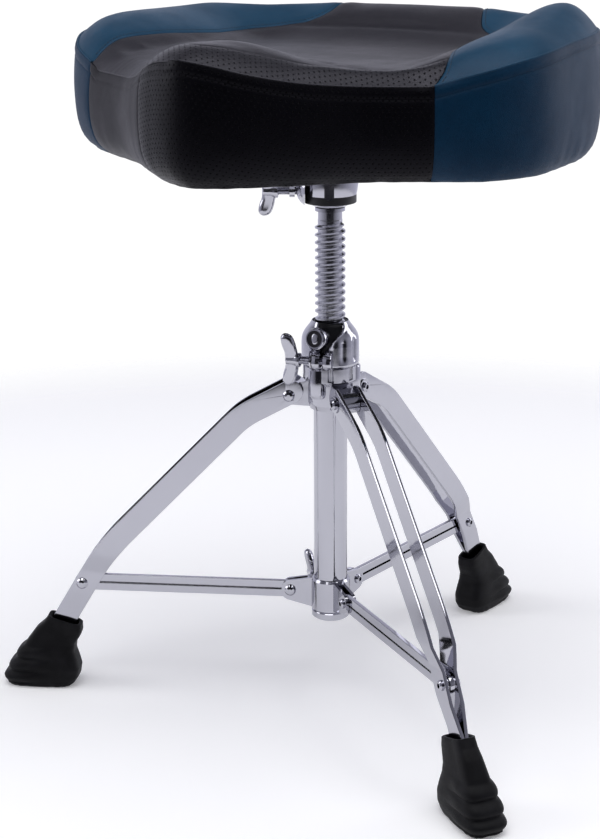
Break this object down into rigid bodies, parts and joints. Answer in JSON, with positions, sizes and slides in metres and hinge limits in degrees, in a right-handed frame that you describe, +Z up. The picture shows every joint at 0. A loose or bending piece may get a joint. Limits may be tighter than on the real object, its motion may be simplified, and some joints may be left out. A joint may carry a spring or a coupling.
{
  "type": "drum throne",
  "caption": "Folding double-braced tripod stool for a drummer, with a threaded height spindle, wing-bolt clamps and a padded saddle seat.",
  "frame": {"origin": "on the floor under the feet, on the axis of the central tube", "axes": "+Z up along the central tube; the front of the seat faces -Y and the rear leg points along +Y"},
  "size_m": [0.5262, 0.5184, 0.5889],
  "materials": {
    "chrome_steel": "bright chrome plate on pressed and drawn steel",
    "chrome_casting": "bright chrome plate on zinc castings",
    "zinc_steel": "bright plated steel",
    "badge_black": "gloss black",
    "rubber": "matt moulded rubber",
    "black_nylon": "satin nylon",
    "white_nylon": "natural nylon",
    "smooth_leather": "fine grained black leatherette",
    "perforated_leather": "perforated black leatherette",
    "blue_leather": "semi gloss teal blue leatherette",
    "lining_cloth": "black non-woven cloth",
    "foam": "moulded foam",
    "plywood": "raw plywood"
  },
  "bodies": {
    "base": {"badge_disc": "badge_black", "badge_ring": "chrome_steel", "height_bolt_washer": "zinc_steel", "height_nut": "chrome_casting", "leg_hub": "chrome_casting", "nut_insert": "black_nylon", "outer_tube": "chrome_steel", "tube_end_ring": "chrome_steel"},
    "collar": {"lower_collar": "chrome_casting", "collar_rivets": "chrome_steel"},
    "guide": {"spindle_guide": "white_nylon"},
    "spindle": {"threaded_spindle": "zinc_steel"},
    "seat": {"bracket_nut": "zinc_steel", "clamp_jaw": "chrome_casting", "cover_front": "perforated_leather", "cover_left": "blue_leather", "cover_rear": "smooth_leather", "cover_right": "blue_leather", "cover_top": "smooth_leather", "dust_cover": "lining_cloth", "jaw_washer": "zinc_steel", "mounting_plate": "zinc_steel", "plate_screws": "zinc_steel", "seat_board": "plywood", "seat_bracket": "chrome_casting", "seat_foam": "foam", "tee_nuts": "zinc_steel"},
    "height_wing": {"height_wing_bolt": "chrome_casting"},
    "collar_wing": {"collar_wing_screw": "chrome_casting"},
    "seat_wing": {"seat_wing_bolt": "chrome_casting"},
    "rear_leg": {"rear_foot": "rubber", "rear_hub_rivet": "chrome_steel", "rear_leg_bar_a": "chrome_steel", "rear_leg_bar_b": "chrome_steel", "rear_stay_rivet": "chrome_steel"},
    "rear_brace": {"rear_stay": "chrome_steel"},
    "left_leg": {"left_foot": "rubber", "left_hub_rivet": "chrome_steel", "left_leg_bar_a": "chrome_steel", "left_leg_bar_b": "chrome_steel", "left_stay_rivet": "chrome_steel"},
    "left_brace": {"left_stay": "chrome_steel"},
    "right_leg": {"right_foot": "rubber", "right_hub_rivet": "chrome_steel", "right_leg_bar_a": "chrome_steel", "right_leg_bar_b": "chrome_steel", "right_stay_rivet": "chrome_steel"},
    "right_brace": {"right_stay": "chrome_steel"}
  },
  "joints": [
    {"name": "collar_slide", "type": "slide", "parent": "base", "child": "collar", "axis": [0, 0, 1], "range_m": [0, 0.10449]},
    {"name": "rear_leg_fold", "type": "hinge", "parent": "base", "child": "rear_leg", "pos_m": [0, 0.034, 0.2745], "axis": [-1, 0, 0], "range_deg": [0, 39.51]},
    {"name": "rear_brace_fold", "type": "hinge", "parent": "collar", "child": "rear_brace", "pos_m": [0, 0.0348, 0.0975], "axis": [-1, 0, 0], "range_deg": [0, 80.91]},
    {"name": "left_leg_fold", "type": "hinge", "parent": "base", "child": "left_leg", "pos_m": [-0.02944, -0.017, 0.2745], "axis": [0.5, -0.866, 0], "range_deg": [0, 39.51]},
    {"name": "left_brace_fold", "type": "hinge", "parent": "collar", "child": "left_brace", "pos_m": [-0.03014, -0.0174, 0.0975], "axis": [0.5, -0.866, 0], "range_deg": [0, 80.91]},
    {"name": "right_leg_fold", "type": "hinge", "parent": "base", "child": "right_leg", "pos_m": [0.02944, -0.017, 0.2745], "axis": [0.5, 0.866, 0], "range_deg": [0, 39.51]},
    {"name": "right_brace_fold", "type": "hinge", "parent": "collar", "child": "right_brace", "pos_m": [0.03014, -0.0174, 0.0975], "axis": [0.5, 0.866, 0], "range_deg": [0, 80.91]},
    {"name": "height_lift", "type": "slide", "parent": "base", "child": "guide", "axis": [0, 0, 1], "range_m": [-0.0768, 0.032]},
    {"name": "height_turn", "type": "hinge", "parent": "guide", "child": "spindle", "pos_m": [0, 0, 0.3], "axis": [0, 0, 1], "range_deg": [-4322, 1802]},
    {"name": "seat_swivel", "type": "hinge", "parent": "spindle", "child": "seat", "pos_m": [0, 0, 0.45], "axis": [0, 0, 1], "continuous": true},
    {"name": "height_wing_turn", "type": "hinge", "parent": "base", "child": "height_wing", "pos_m": [-0.00877, -0.03244, 0.3092], "axis": [-0.9311, -0.3649, 0], "continuous": true},
    {"name": "collar_wing_turn", "type": "hinge", "parent": "collar", "child": "collar_wing", "pos_m": [-0.01766, 0.00939, 0.101], "axis": [-0.8829, 0.4695, 0], "continuous": true},
    {"name": "seat_wing_turn", "type": "hinge", "parent": "seat", "child": "seat_wing", "pos_m": [-0.02415, -0.0178, 0.447], "axis": [-0.8049, -0.5934, 0], "continuous": true}
  ],
  "couplings": [
    {"joint": "rear_leg_fold", "follows": "collar_slide", "rad_per_m": 6.5977},
    {"joint": "rear_brace_fold", "follows": "collar_slide", "rad_per_m": 13.514},
    {"joint": "left_leg_fold", "follows": "collar_slide", "rad_per_m": 6.5977},
    {"joint": "left_brace_fold", "follows": "collar_slide", "rad_per_m": 13.514},
    {"joint": "right_leg_fold", "follows": "collar_slide", "rad_per_m": 6.5977},
    {"joint": "right_brace_fold", "follows": "collar_slide", "rad_per_m": 13.514},
    {"joint": "height_turn", "follows": "height_lift", "rad_per_m": 981.75}
  ]
}
